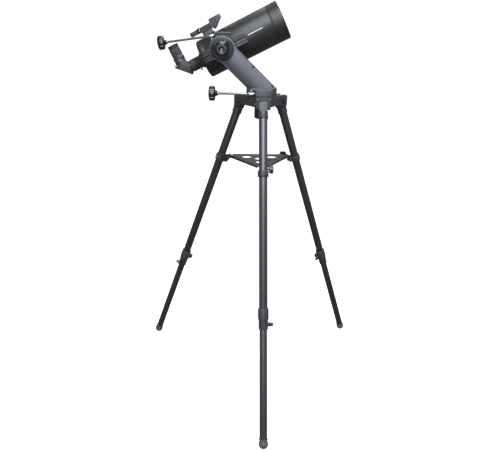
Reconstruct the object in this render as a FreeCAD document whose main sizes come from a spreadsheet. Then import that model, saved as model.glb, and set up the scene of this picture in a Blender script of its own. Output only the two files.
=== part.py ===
import FreeCAD, Part
import Sketcher
import math
import os

# Catadioptric (Maksutov) telescope on a single-arm altazimuth head with slow
# motion controls, on a three-leg aluminium tripod with an accessory tray.
#
# Row frame, millimetres: origin on the floor under the azimuth axis, +Z up,
# +X the way the tube points (seen from above), +Y the side the tube hangs on.

doc = FreeCAD.newDocument("telescope")
sheet = doc.addObject("Spreadsheet::Sheet", "Sheet")

# name, value (mm or degrees), what it is
TABLE = [
    ("splay", 21.06, "leg angle from the vertical"),
    ("leg_turn", 3.77, "angle between the head's X axis and the leg pattern"),
    ("hinge_rad", 70.07, "leg hinge radius"),
    ("hinge_high", 935.0, "leg hinge height"),
    ("up_rad", 12.5, "upper leg tube radius"),
    ("up_wall", 1.15, "upper leg tube wall"),
    ("low_rad", 11.25, "lower leg tube radius"),
    ("low_wall", 1.2, "lower leg tube wall"),
    ("up_end", 622.0, "upper tube's lower end, down the leg from the hinge"),
    ("low_top", 500.0, "lower tube's upper end"),
    ("low_end", 972.0, "lower tube's lower end"),
    ("foot_ball", 14.0, "radius of the rubber ball foot"),
    ("foot_flat", 0.4, "depth of the flat where the ball stands on the floor"),
    ("tongue_half", 12.0, "half thickness of the leg cap's tongue"),
    ("cap_rad", 14.5, "leg cap sleeve radius"),
    ("cap_top", 21.0, "top of the cap sleeve"),
    ("cap_end", 39.8, "lower end of the cap sleeve"),
    ("pin_rad", 3.0, "hinge bolt radius"),
    ("ear_out", 21.0, "outer face of a crown ear"),
    ("slot_half", 12.4, "half width of the crown's leg slot"),
    ("crown_low", 927.0, "crown underside"),
    ("crown_high", 955.0, "crown top"),
    ("lock_rad", 15.6, "leg lock collar radius"),
    ("lock_top", 592.8, "leg lock collar upper end"),
    ("lock_mid", 626.0, "leg lock collar step"),
    ("lock_end", 653.3, "leg lock collar lower end"),
    ("sleeve_rad", 14.0, "lower sleeve of the lock collar"),
    ("knob_at", 640.0, "leg lock screw position"),
    ("tray_ring", 15.75, "tray collar radius"),
    ("ring_top", 192.0, "tray collar upper end"),
    ("ring_end", 210.0, "tray collar lower end"),
    ("piv_x", 27.0, "tray pivot, inboard of the leg axis"),
    ("piv_z", 184.6, "tray pivot, down the leg"),
    ("tray_high", 757.0, "underside of the tray plate"),
    ("tray_thick", 2.5, "tray plate thickness"),
    ("tray_piv", 753.0, "tray bolt height"),
    ("tray_piv_rad", 111.2, "tray bolt radius from the tripod axis"),
    ("tray_hole", 16.0, "radius of a hole for a 1.25 inch eyepiece"),
    ("hole_at", 46.0, "radius of the ring of tray holes"),
    ("tray_cut", 100.0, "radius at which the tray's corners are cut"),
    ("tray_inner", 62.5, "distance of the tray's edges from its centre"),
    ("housing_rad", 46.0, "azimuth housing radius"),
    ("housing_low", 955.8, "azimuth housing lower rim"),
    ("housing_high", 978.0, "azimuth housing top"),
    ("az_tip", 37.0, "azimuth worm wheel tip radius"),
    ("az_worm_y", 42.0, "distance of the azimuth worm from the axis"),
    ("az_worm_z", 962.0, "height of the azimuth worm"),
    ("worm_rad", 4.6, "worm outside radius"),
    ("shaft_rad", 3.0, "worm shaft radius"),
    ("rod_rad", 3.3, "slow motion rod radius"),
    ("alt_x", 118.0, "altitude axis, behind the azimuth axis"),
    ("alt_z", 1086.0, "altitude axis height"),
    ("arm_rad", 31.0, "arm tube radius"),
    ("arm_tilt", 42.8, "arm angle above the horizontal"),
    ("barrel_rad", 35.5, "hub barrel radius"),
    ("barrel_half", 33.0, "hub barrel half length"),
    ("alt_tip", 33.0, "altitude worm wheel tip radius"),
    ("alt_off", 38.5, "distance of the altitude worm from the altitude axis"),
    ("alt_lean", 8.4, "slope of the altitude worm shaft"),
    ("axle_rad", 9.0, "altitude axle radius"),
    ("dial_rad", 34.0, "altitude dial radius"),
    ("point_up", 26.87, "elevation of the optical axis at rest"),
    ("ota_y", 104.5, "optical axis, to the side of the azimuth axis"),
    ("ota_drop", 4.5, "optical axis, below the altitude axis"),
    ("tube_rad", 58.5, "main tube radius"),
    ("tube_wall", 2.0, "main tube wall"),
    ("rear_end", 75.0, "rear end of the tube, behind the altitude axis"),
    ("cell_front", 55.0, "joint between rear cell and tube"),
    ("ring_start", 162.0, "joint between tube and front ring"),
    ("front_end", 199.4, "front end of the tube"),
    ("front_rad", 59.1, "front ring radius"),
    ("lens_rad", 52.0, "meniscus lens radius"),
    ("nose_rad", 15.875, "1.25 inch barrel radius"),
    ("socket_rad", 15.93, "1.25 inch socket radius"),
    ("eye_at", 144.3, "eyepiece axis, behind the altitude axis"),
]


class Dim:
    """A number that remembers the spreadsheet expression it came from."""

    def __init__(self, value, text):
        self.value = float(value)
        self.text = text

    def __add__(self, other):
        other = dim(other)
        return Dim(self.value + other.value, "(%s + %s)" % (self.text, other.text))

    def __radd__(self, other):
        return dim(other) + self

    def __sub__(self, other):
        other = dim(other)
        return Dim(self.value - other.value, "(%s - %s)" % (self.text, other.text))

    def __rsub__(self, other):
        return dim(other) - self

    def __mul__(self, other):
        other = dim(other)
        return Dim(self.value * other.value, "(%s * %s)" % (self.text, other.text))

    def __rmul__(self, other):
        return dim(other) * self

    def __neg__(self):
        return Dim(-self.value, "(0 - %s)" % self.text)


def dim(value):
    if isinstance(value, Dim):
        return value
    return Dim(value, "%.6f" % value if value >= 0 else "(0 - %.6f)" % -value)


class Holder:
    pass


D = Holder()
for row, (alias, value, note) in enumerate(TABLE, start=1):
    sheet.set("A%d" % row, alias)
    sheet.set("B%d" % row, str(value))
    sheet.set("C%d" % row, note)
    sheet.setAlias("B%d" % row, alias)
    setattr(D, alias, Dim(value, "Sheet.%s" % alias))
doc.recompute()

V = FreeCAD.Vector


def turn(axis, angle):
    return FreeCAD.Rotation(V(*axis), angle)


def place(x=0, y=0, z=0, rot=None):
    return FreeCAD.Placement(V(float(x), float(y), float(z)), rot or FreeCAD.Rotation())


X_AXIS, Y_AXIS, Z_AXIS = (1, 0, 0), (0, 1, 0), (0, 0, 1)
ALONG_Y = turn(X_AXIS, -90)      # local +Z becomes +Y
ALONG_X = turn(Y_AXIS, 90)       # local +Z becomes +X

counter = [0]


def tmp(stem):
    counter[0] += 1
    return "%s_%d" % (stem, counter[0])


def bind(obj, prop, value):
    value = dim(value)
    setattr(obj, prop, value.value)
    obj.setExpression(prop, value.text)


def cyl(rad, length, at=None):
    obj = doc.addObject("Part::Cylinder", tmp("cyl"))
    bind(obj, "Radius", rad)
    bind(obj, "Height", length)
    if at is not None:
        obj.Placement = at
    return obj


def box(sx, sy, sz, at=None, centre=True):
    """Box centred in X and Y on the placement, growing up from it."""
    obj = doc.addObject("Part::Box", tmp("box"))
    bind(obj, "Length", sx)
    bind(obj, "Width", sy)
    bind(obj, "Height", sz)
    at = at or place()
    if centre:
        at = at.multiply(place(-dim(sx).value / 2.0, -dim(sy).value / 2.0, 0))
    obj.Placement = at
    return obj


def fuse(*shapes):
    obj = doc.addObject("Part::MultiFuse", tmp("fuse"))
    obj.Shapes = list(shapes)
    obj.Refine = True
    return obj


def cut(base, *tools):
    obj = doc.addObject("Part::Cut", tmp("cut"))
    obj.Base = base
    obj.Tool = tools[0] if len(tools) == 1 else fuse(*tools)
    obj.Refine = True
    return obj


def cut_each(base, *tools):
    """Cut the tools one after another."""
    for tool in tools:
        base = cut(base, tool)
    return base


def common(first, second):
    obj = doc.addObject("Part::Common", tmp("common"))
    obj.Base = first
    obj.Tool = second
    return obj


def plane_of(body, role):
    for feature in body.Origin.OriginFeatures:
        if feature.Role == role:
            return feature
    return None


def outline(body, role, loops):
    """Sketch with closed straight-edged loops, each vertex held by the sheet."""
    sketch = body.newObject("Sketcher::SketchObject", tmp("sketch"))
    sketch.AttachmentSupport = [(plane_of(body, role), "")]
    sketch.MapMode = "FlatFace"
    for points in loops:
        points = [(dim(a), dim(b)) for a, b in points]
        first = None
        count = len(points)
        ids = []
        for i in range(count):
            a, b = points[i], points[(i + 1) % count]
            ids.append(sketch.addGeometry(Part.LineSegment(V(a[0].value, a[1].value, 0),
                                                           V(b[0].value, b[1].value, 0)), False))
        for i in range(count):
            sketch.addConstraint(Sketcher.Constraint("Coincident", ids[i], 2, ids[(i + 1) % count], 1))
        for i in range(count):
            for kind, value, axis in (("DistanceX", points[i][0], -2), ("DistanceY", points[i][1], -1)):
                if abs(value.value) < 1e-9:
                    sketch.addConstraint(Sketcher.Constraint("PointOnObject", ids[i], 1, axis))
                else:
                    index = sketch.addConstraint(
                        Sketcher.Constraint(kind, -1, 1, ids[i], 1, value.value))
                    sketch.setExpression("Constraints[%d]" % index, value.text)
    return sketch


def rev(points, at=None):
    """Body turned about its local Z axis from (radius, z) points."""
    body = doc.addObject("PartDesign::Body", tmp("turned"))
    sketch = outline(body, "XZ_Plane", [points])
    feature = body.newObject("PartDesign::Revolution", tmp("revolution"))
    feature.Profile = sketch
    feature.ReferenceAxis = (sketch, ["V_Axis"])
    feature.Angle = 360.0
    sketch.Visibility = False
    if at is not None:
        body.Placement = at
    return body


def pad(loops, length, at=None, role="XY_Plane", middle=False):
    """Body padded from straight-edged loops."""
    body = doc.addObject("PartDesign::Body", tmp("padded"))
    sketch = outline(body, role, loops)
    feature = body.newObject("PartDesign::Pad", tmp("pad"))
    feature.Profile = sketch
    bind(feature, "Length", length)
    feature.SideType = "Symmetric" if middle else "One side"
    if at is not None:
        body.Placement = at
    return body


def copy_at(make, placements):
    return [make(at) for at in placements]


PARTS = []


def node(label, obj, at=None):
    obj.Label = label
    if at is not None:
        obj.Placement = at
    PARTS.append(obj)
    return obj


def group(label, shapes, at=None):
    """Several separate identical solids under one label."""
    obj = doc.addObject("Part::Compound", tmp("group"))
    obj.Links = list(shapes)
    return node(label, obj, at)


def fillet(base, radius, pick):
    """Round the edges of base that pick(edge) accepts."""
    doc.recompute()
    obj = doc.addObject("Part::Fillet", tmp("fillet"))
    obj.Base = base
    obj.Edges = [(i + 1, radius, radius) for i, e in enumerate(base.Shape.Edges) if pick(e)]
    return obj


# ---------------------------------------------------------------- tripod
LEGS = (("front", -90.0), ("left", 150.0), ("right", 30.0))
LEG_AZ = dict((n, a + D.leg_turn.value) for n, a in LEGS)


def leg_frame(name):
    az = math.radians(LEG_AZ[name])
    rot = turn(Z_AXIS, LEG_AZ[name]).multiply(turn(Y_AXIS, -D.splay.value))
    return place(D.hinge_rad.value * math.cos(az), D.hinge_rad.value * math.sin(az),
                 D.hinge_high.value, rot)


def radial(name, rad, z):
    """Frame at a radius along a leg's azimuth: X outward, Y tangential, Z up."""
    az = math.radians(LEG_AZ[name])
    return place(rad * math.cos(az), rad * math.sin(az), z, turn(Z_AXIS, LEG_AZ[name]))


# crown: a plate with three forks that hold the leg tongues
plan = []
for name in ("left", "front", "right"):
    az = math.radians(LEG_AZ[name])
    for side in (-1, 1):
        r0, t0 = 66.0, side * D.ear_out.value
        plan.append((r0 * math.cos(az) - t0 * math.sin(az), r0 * math.sin(az) + t0 * math.cos(az)))
plate = pad([plan], D.crown_high - D.crown_low, place(0, 0, D.crown_low.value))
ears = []
for name, _ in LEGS:
    ear = box(26.0, 2 * D.ear_out, 33.5, radial(name, 70.0, D.crown_high.value - 33.5))
    ears.append(fillet(ear, 6.0, lambda e: e.Length > 40 and
                       math.hypot(e.CenterOfMass.x, e.CenterOfMass.y) > 75))
boss = cyl(24.0, 4.0, place(0, 0, D.crown_low.value - 1.0))
slots = [box(60.0, 2 * D.slot_half, 60.0, radial(name, 56.0 + 30.0, D.crown_high.value - 45))
         for name, _ in LEGS]
bolts_cut = [cyl(D.pin_rad + 0.06, 60.0, radial(name, D.hinge_rad.value, D.hinge_high.value)
                 .multiply(place(0, -30, 0, ALONG_Y))) for name, _ in LEGS]
recess = [cyl(7.0, 2.0, radial(name, D.hinge_rad.value, D.hinge_high.value)
              .multiply(place(0, s, 0, ALONG_Y))) for name, _ in LEGS for s in (-21.6, 19.5)]
node("tripod_crown", cut(fuse(plate, boss, *ears), cyl(5.1, 60.0, place(0, 0, 910.0)),
                         *(slots + bolts_cut + recess)))


def hinge_bolt(at):
    return rev([(0, -20.0), (D.pin_rad, -20.0), (D.pin_rad, 19.6), (5.6, 19.6), (5.6, 22.6),
                (4.6, 23.6), (0, 23.6)], at)


def hinge_pair(at):
    return fuse(hinge_bolt(at), cyl(5.6, 3.4, at.multiply(place(0, 0, -23.0))))


group("hinge_bolts", [hinge_pair(radial(name, D.hinge_rad.value, D.hinge_high.value)
                                 .multiply(place(0, 0, 0, ALONG_Y))) for name, _ in LEGS])

# foot ball centre: the ball is worn flat over a few millimetres where it stands on the floor
BALL = (D.hinge_high.value - D.foot_ball.value + D.foot_flat.value) / math.cos(math.radians(D.splay.value))

for name, _ in LEGS:
    F = leg_frame(name)
    # cap: rounded tongue and sleeve around the tube's top
    tongue = fuse(cyl(13.0, 2 * D.tongue_half, place(0, -D.tongue_half.value, 0, ALONG_Y)),
                  box(26.0, 2 * D.tongue_half, D.cap_top, place(0, 0, -D.cap_top.value)))
    sleeve = cyl(D.cap_rad, D.cap_end - D.cap_top, place(0, 0, -D.cap_end.value))
    node("leg_cap_" + name,
         cut(fuse(tongue, sleeve), cyl(D.pin_rad + 0.05, 40.0, place(0, -20, 0, ALONG_Y)),
             cyl(D.up_rad + 0.04, D.cap_end - D.cap_top - 2.0, place(0, 0, -D.cap_end.value - 0.0))), F)
    node("upper_tube_" + name,
         rev([(D.up_rad - D.up_wall, -D.cap_top - 2.2), (D.up_rad, -D.cap_top - 2.2), (D.up_rad, -D.up_end),
              (D.up_rad - D.up_wall, -D.up_end)]), F)
    node("lower_tube_" + name,
         rev([(D.low_rad - D.low_wall, -D.low_top), (D.low_rad, -D.low_top), (D.low_rad, -D.low_end),
              (D.low_rad - D.low_wall, -D.low_end)]), F)
    # rubber foot: plug, cap ring, neck and ball
    profile = [(0, -D.low_end + 22.0), (D.low_rad - D.low_wall - 0.05, -D.low_end + 22.0),
               (D.low_rad - D.low_wall - 0.05, -D.low_end - 0.05), (12.3, -D.low_end - 0.05),
               (12.3, -D.low_end - 2.4), (9.9, -D.low_end - 3.4)]
    start = 45.0
    for i in range(0, 13):
        a = math.radians(start + (180.0 - start) * i / 12.0)
        profile.append((max(0.0, D.foot_ball.value * math.sin(a)) if i < 12 else 0,
                        -BALL + D.foot_ball.value * math.cos(a)))
    floor_cut = box(60.0, 60.0, 20.0, F.inverse().multiply(radial(name, D.hinge_rad.value + BALL * math.sin(
        math.radians(D.splay.value)), -20.0)))
    node("foot_" + name, cut(rev(profile), floor_cut), F)
    # lock collar: two steps, an inner lug and a boss for the wing screw
    steps = rev([(D.up_rad + 0.04, -D.lock_top), (D.lock_rad - 1.0, -D.lock_top),
                 (D.lock_rad, -D.lock_top - 1.0), (D.lock_rad, -D.lock_mid + 1.0),
                 (D.lock_rad - 1.0, -D.lock_mid), (D.sleeve_rad, -D.lock_mid),
                 (D.sleeve_rad, -D.lock_end), (D.low_rad + 0.08, -D.lock_end),
                 (D.low_rad + 0.08, -D.up_end - 0.2), (D.up_rad + 0.04, -D.up_end - 0.2)])
    lug = box(11.0, 9.0, 14.0, place(-D.lock_rad.value - 5.0, 0, -612.0))
    screw_boss = cyl(6.0, 2.6, place(0, D.sleeve_rad.value - 1.6, -D.knob_at.value, ALONG_Y))
    node("lock_collar_" + name,
         cut(fuse(steps, lug, screw_boss),
             cyl(3.05, 8.0, place(0, 11.2, -D.knob_at.value, ALONG_Y)),
             cyl(2.0, 30.0, place(-21.5, -15.0, -605.0, ALONG_Y)),
             cyl(D.up_rad + 0.04, 18.0, place(0, 0, -614.0))), F)
    # wing screw of the lock
    K = place(0, 0, -D.knob_at.value, ALONG_Y)
    hub = rev([(0, 11.75), (3.0, 11.75), (3.0, 15.4), (5.5, 15.4), (6.5, 17.0), (5.2, 26.0), (0, 26.0)], K)
    wing = pad([[(3.0, 16.5), (12.5, 19.0), (15.2, 22.0), (15.2, 26.0), (12.0, 27.4), (3.0, 25.0),
                 (-3.0, 25.0), (-12.0, 27.4), (-15.2, 26.0), (-15.2, 22.0), (-12.5, 19.0),
                 (-3.0, 16.5)]], 5.0, K, "XZ_Plane", True)
    node("lock_knob_" + name, fuse(hub, wing), F)
    # tray collar: ring with two slotted arms
    ring = cyl(D.tray_ring, D.ring_end - D.ring_top, place(0, 0, -D.ring_end.value))
    arms = [pad([[(-12.6, -D.ring_end + 3.0), (-12.6, -D.ring_top + 1.0), (-D.piv_x + 4.0, -D.piv_z + 6.6),
                  (-D.piv_x - 6.0, -D.piv_z + 6.1), (-D.piv_x - 7.5, -D.piv_z + 3.6),
                  (-D.piv_x - 7.5, -D.piv_z - 4.4), (-D.piv_x + 2.0, -D.ring_end + 6.0)]], 3.0,
                place(0, s, 0), "XZ_Plane", True)
            for s in (-6.0, 6.0)]
    gap = box(6.6, 24.0, 30.0, place(-D.piv_x.value, 0, -D.piv_z.value, turn(Y_AXIS, D.splay.value))
              .multiply(place(0, 0, -30.0)))
    seat = cyl(3.3, 24.0, place(-D.piv_x.value, -12.0, -D.piv_z.value, ALONG_Y))
    node("tray_collar_" + name,
         cut(fuse(ring, *arms), cyl(D.up_rad + 0.04, 60.0, place(0, 0, -D.ring_end.value - 20.0)),
             gap, seat), F)

# tray: triangular plate with cut corners, four eyepiece holes and three bolt tabs
corner_half = (2 * D.tray_inner.value - D.tray_cut.value) * math.tan(math.radians(30.0))
plan = []
for name in ("left", "front", "right"):
    az = math.radians(LEG_AZ[name])
    for side in (-1, 1):
        t0 = side * corner_half
        plan.append((D.tray_cut.value * math.cos(az) - t0 * math.sin(az),
                     D.tray_cut.value * math.sin(az) + t0 * math.cos(az)))
sheet_plate = pad([plan], D.tray_thick, place(0, 0, D.tray_high.value))
rims = []
for i in (1, 3, 5):
    (ax, ay), (bx, by) = plan[i], plan[(i + 1) % 6]
    length = math.hypot(bx - ax, by - ay)
    heading = math.degrees(math.atan2(by - ay, bx - ax))
    rims.append(box(length - 1.0, 1.6, 5.0, place((ax + bx) / 2, (ay + by) / 2, D.tray_high.value - 4.0,
                                                  turn(Z_AXIS, heading)).multiply(place(0, 0.8, 0))))
tabs = [fuse(box(20.0, 6.0, 6.5, radial(n, D.tray_piv_rad.value - 6.0, D.tray_high.value - 4.5)),
             cyl(5.0, 6.0, radial(n, D.tray_piv_rad.value, D.tray_piv.value)
                 .multiply(place(0, -3, 0, ALONG_Y)))) for n, _ in LEGS]
holes = [cyl(D.tray_hole, 20.0, place(0, 0, D.tray_high.value - 8))] + \
        [cyl(D.tray_hole, 20.0, radial(n, D.hole_at.value, D.tray_high.value - 8)) for n, _ in LEGS]
bolt_holes = [cyl(2.55, 12.0, radial(n, D.tray_piv_rad.value, D.tray_piv.value)
                  .multiply(place(0, -6, 0, ALONG_Y))) for n, _ in LEGS]
node("accessory_tray", cut(fuse(sheet_plate, *(rims + tabs)), *(holes + bolt_holes)))


def tray_knob(at):
    core = rev([(0, -9.5), (2.5, -9.5), (2.5, 19.0), (5.0, 19.0), (5.0, 20.5), (11.0, 20.5),
                (11.0, 32.0), (0, 32.0)], at)
    lobes = [cyl(3.4, 10.6, at.multiply(turn_at(60 * i, 10.2, 21.0))) for i in range(6)]
    return fuse(core, *lobes)


def turn_at(angle, rad, z):
    a = math.radians(angle)
    return place(rad * math.cos(a), rad * math.sin(a), z)


group("tray_knobs", [tray_knob(radial(n, D.tray_piv_rad.value, D.tray_piv.value)
                               .multiply(place(0, 0, 0, ALONG_Y))) for n, _ in LEGS])

# ------------------------------------------------------------ azimuth head
head_core = rev([(0, 885.5), (17.0, 885.5), (20.5, 889.0), (20.5, 919.0), (19.0, 920.6),
                 (5.0, 920.6), (5.0, 971.0), (0, 971.0)])
grips = [cyl(2.2, 40.0, turn_at(30 * i, 21.2, 884.0)) for i in range(12)]
node("head_knob", cut(head_core, *grips))
lever_ring = rev([(5.15, 921.0), (15.0, 921.0), (15.0, 925.6), (5.15, 925.6)])
lever_bar = box(24.0, 8.0, 3.2, place(24.0, 0, 921.4))
node("azimuth_lever", cut(fuse(lever_ring, lever_bar), cyl(5.15, 10.0, place(0, 0, 918.0))))
node("azimuth_base", rev([(5.06, 955.3), (32.6, 955.3), (32.6, 957.4), (12.0, 957.4), (12.0, 974.0),
                          (5.06, 974.0)]))


def toothed(rad, depth, count, thick, bore, at):
    """Worm wheel: a disc with one straight tooth per worm turn."""
    points = []
    for i in range(count):
        for frac, r in ((0.0, rad), (0.36, rad), (0.58, rad - depth), (0.78, rad - depth)):
            a = 2 * math.pi * (i + frac) / count
            points.append((r * math.cos(a), r * math.sin(a)))
    body = doc.addObject("PartDesign::Body", tmp("wheel"))
    sketch = body.newObject("Sketcher::SketchObject", tmp("sketch"))
    sketch.AttachmentSupport = [(plane_of(body, "XY_Plane"), "")]
    sketch.MapMode = "FlatFace"
    sketch.addGeometry([Part.LineSegment(V(points[i][0], points[i][1], 0),
                                         V(points[(i + 1) % len(points)][0],
                                           points[(i + 1) % len(points)][1], 0))
                        for i in range(len(points))], False)
    feature = body.newObject("PartDesign::Pad", tmp("pad"))
    feature.Profile = sketch
    bind(feature, "Length", thick)
    return cut(body, cyl(bore, 40.0, place(0, 0, -20)))


wheel = toothed(D.az_tip.value, 1.6, 72, 6.5, 12.05, None)
node("azimuth_wheel", wheel, place(0, 0, 958.75))

cup = rev([(12.06, 970.0), (40.2, 970.0), (40.2, D.housing_low), (D.housing_rad, D.housing_low),
           (D.housing_rad, D.housing_high - 1.2), (D.housing_rad - 1.2, D.housing_high),
           (12.06, D.housing_high)])
node("azimuth_housing",
     cut(cup, box(80.0, 30.0, 40.0, place(0, -33.0 - 15.0, 940.0)),
         box(42.0, 20.0, 14.2, place(4.5, -33.0, 955.8))))
block = fillet(box(44.0, 22.6, 19.0, place(4.5, -33.2 - 11.3, 955.8)), 1.6,
               lambda e: e.Length > 40 and e.CenterOfMass.y < -50)
node("azimuth_worm_block",
     cut(block, box(35.0, 17.0, 10.6, place(4.5, -34.0 - 8.5 + 1.0, 956.9)),
         cyl(D.az_tip + 0.4, 9.0, place(0, 0, 957.6)),
         cyl(D.shaft_rad + 0.05, 80.0, place(-40.0, -D.az_worm_y.value, D.az_worm_z.value, ALONG_X))))


def worm_profile(half, rad, before, after):
    """Shaft with zigzag thread between -half and half."""
    pts = [(0, -before), (D.shaft_rad, -before), (D.shaft_rad, -half)]
    turns = int(2 * half / 3.14)
    step = 2.0 * half / turns
    for i in range(turns):
        z0 = -half + i * step
        pts += [(D.shaft_rad + 0.3, z0 + 0.1), (rad, z0 + 0.40 * step), (rad, z0 + 0.60 * step)]
    pts += [(D.shaft_rad + 0.3, half - 0.05), (D.shaft_rad, half), (D.shaft_rad, after), (0, after)]
    return pts


AZ_WORM = place(4.5, -D.az_worm_y.value, D.az_worm_z.value, turn(Y_AXIS, -90))
node("azimuth_worm", rev(worm_profile(12.5, D.worm_rad, 20.5, 38.0)), AZ_WORM)


def rod_body(start, sleeve_len, end):
    """Coupling sleeve with its thumb screw boss, and the control rod."""
    return [(D.shaft_rad + 0.05, start), (5.0, start), (5.4, start + 0.6), (5.4, start + sleeve_len - 1.5),
            (4.4, start + sleeve_len), (D.rod_rad, start + sleeve_len), (D.rod_rad, end), (0, end),
            (0, start + 17.0), (D.shaft_rad + 0.05, start + 17.0)]


AZ_ROD = place(0, -D.az_worm_y.value, D.az_worm_z.value, turn(Y_AXIS, -90))
az_screw = cyl(2.6, 7.5, place(4.9, 0, 31.5, turn(Y_AXIS, 90)))
node("azimuth_rod", fuse(rev(rod_body(19.5, 23.5, 150.0)), az_screw), AZ_ROD)


def knob_points(start, rad):
    """Control knob: cone collar toward the rod, drum and domed face."""
    return [(D.rod_rad + 0.02, start), (5.6, start), (6.2, start + 1.0), (9.5, start + 7.0),
            (rad - 2.5, start + 8.0), (rad, start + 10.5), (rad, start + 22.5), (rad - 3.0, start + 25.5),
            (0, start + 25.5), (0, start + 21.0), (D.rod_rad + 0.02, start + 21.0)]


def fluted(points, start, rad):
    flutes = [cyl(3.0, 30.0, turn_at(45 * i + 22.5, rad + 1.0, start + 8.2)) for i in range(8)]
    return cut(rev(points), *flutes)


node("azimuth_knob", fluted(knob_points(130.0, 21.5), 130.0, 21.5), AZ_ROD)

# ------------------------------------------------------------ arm and altitude hub
HUB = place(-D.alt_x.value, 0, D.alt_z.value)
HUB_Y = place(-D.alt_x.value, 0, D.alt_z.value, ALONG_Y)
lean = math.radians(D.alt_lean.value)
ALT_ROT = turn(Y_AXIS, -(90.0 + D.alt_lean.value))
ALT_WORM = place(-D.alt_x.value - D.alt_off.value * math.sin(lean), 0,
                 D.alt_z.value + D.alt_off.value * math.cos(lean), ALT_ROT)
arm_dir = turn(Y_AXIS, -(90.0 - D.arm_tilt.value))        # local +Z runs up the arm
ARM = place(-2.3, 0, 978.0, arm_dir)
stem = cyl(D.arm_rad, 158.0 + 60.0, ARM.multiply(place(0, 0, -60.0)))
barrel = rev([(D.alt_tip + 0.5, -D.barrel_half), (D.barrel_rad, -D.barrel_half),
              (D.barrel_rad, D.barrel_half - 2.0), (D.barrel_rad - 2.0, D.barrel_half),
              (D.axle_rad + 0.06, D.barrel_half), (D.axle_rad + 0.06, 6.0), (D.alt_tip + 0.5, 6.0)], HUB_Y)
stem_holes = [cyl(2.5, 20.0, ARM.multiply(place(0, 0, z, turn(Z_AXIS, a))).multiply(
    place(D.arm_rad.value - 8.0, 0, 0, ALONG_X))) for z in (59.2, -20.0) for a in (-33.0, 33.0)]
stem_open = cut_each(stem, box(300.0, 300.0, 200.0, place(0, 0, D.housing_high.value + 0.3 - 200.0)),
                     cyl(D.arm_rad - 4.5, 100.0 + 80.0, ARM.multiply(place(0, 0, -80.0))),
                     cyl(D.barrel_rad - 1.0, 80.0, HUB_Y.multiply(place(0, 0, -40.0))), *stem_holes)
window = box(11.4, 11.4, 28.0, ALT_WORM.multiply(place(0, 0, -14.0)))
arm_fused = fuse(stem_open, barrel)
arm_fused.Refine = False
arm = cut(arm_fused, window)
arm.Refine = False
node("arm", arm)


def arm_screw(at):
    return rev([(0, -6.0), (2.45, -6.0), (2.45, 0.2), (4.2, 0.2), (4.2, 1.4), (3.2, 2.2), (0, 2.2)], at)


group("arm_screws", [arm_screw(ARM.multiply(place(0, 0, z, turn(Z_AXIS, a))).multiply(
    place(D.arm_rad.value, 0, 0, ALONG_X))) for z in (59.2, -20.0) for a in (-33.0, 33.0)])

saddle_block = fuse(box(43.0, 38.0, 17.0, place(-117.5, -5.0, 1112.0)),
                    box(48.0, 42.0, 2.5, place(-117.5, -5.0, 1129.0)))
node("altitude_worm_block",
     cut(saddle_block, cyl(D.barrel_rad + 0.05, 80.0, HUB_Y.multiply(place(0, 0, -40.0))),
         cyl(5.6, 28.0, ALT_WORM.multiply(place(0, 0, -14.0))),
         cyl(D.shaft_rad + 0.05, 90.0, ALT_WORM.multiply(place(0, 0, -40.0)))))
node("altitude_worm", rev(worm_profile(12.5, D.worm_rad + 0.4, 17.5, 32.0)), ALT_WORM)
alt_screw = cyl(2.6, 7.4, place(0, 0, 27.5, turn(Y_AXIS, -90)).multiply(place(0, 0, 4.9)))
node("altitude_rod", fuse(rev(rod_body(17.6, 22.5, 176.0)), alt_screw), ALT_WORM)
node("altitude_knob", fluted(knob_points(160.0, 20.0), 160.0, 20.0), ALT_WORM)

node("altitude_axle", rev([(0, -56.0), (5.9, -56.0), (5.9, -D.barrel_half - 0.2), (D.axle_rad, -D.barrel_half - 0.2),
                           (D.axle_rad, 33.5), (21.0, 33.5), (21.0, 37.0), (0, 37.0)]), HUB_Y)
node("altitude_wheel", toothed(D.alt_tip.value, 1.6, 64, 8.0, D.axle_rad + 0.03, None),
     HUB_Y.multiply(place(0, 0, -4.0)))
node("altitude_dial", rev([(5.95, -33.4), (D.dial_rad, -33.4), (D.dial_rad, -37.2), (D.dial_rad - 3.0, -39.6),
                           (27.0, -40.2), (5.95, -40.2)]), HUB_Y)
lobes = fuse(cyl(21.5, 13.0, place(0, 0, -53.5)),
             *[cyl(10.5, 13.0, place(17.0 * math.cos(math.radians(a)), 17.0 * math.sin(math.radians(a)), -53.5))
               for a in (-50, 70, 190)])
knob_body = fuse(lobes, rev([(5.95, -40.5), (15.0, -40.5), (15.0, -58.0), (12.6, -60.5), (5.95, -60.5)]))
node("clutch_knob", cut(knob_body, cyl(5.95, 60.0, place(0, 0, -58.0)), cyl(9.8, 6.0, place(0, 0, -63.0))), HUB_Y)

# ------------------------------------------------------------ optical tube
# local +Z is the optical axis toward the sky, local -X its upper side
OTA_ROT = turn(Y_AXIS, 90.0 - D.point_up.value)
OTA = place(-D.alt_x.value, D.ota_y.value, D.alt_z.value, OTA_ROT).multiply(place(D.ota_drop.value, 0, 0))
tube_cut = cyl(D.tube_rad + 0.1, 400.0, place(0, 0, -150.0))
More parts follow.
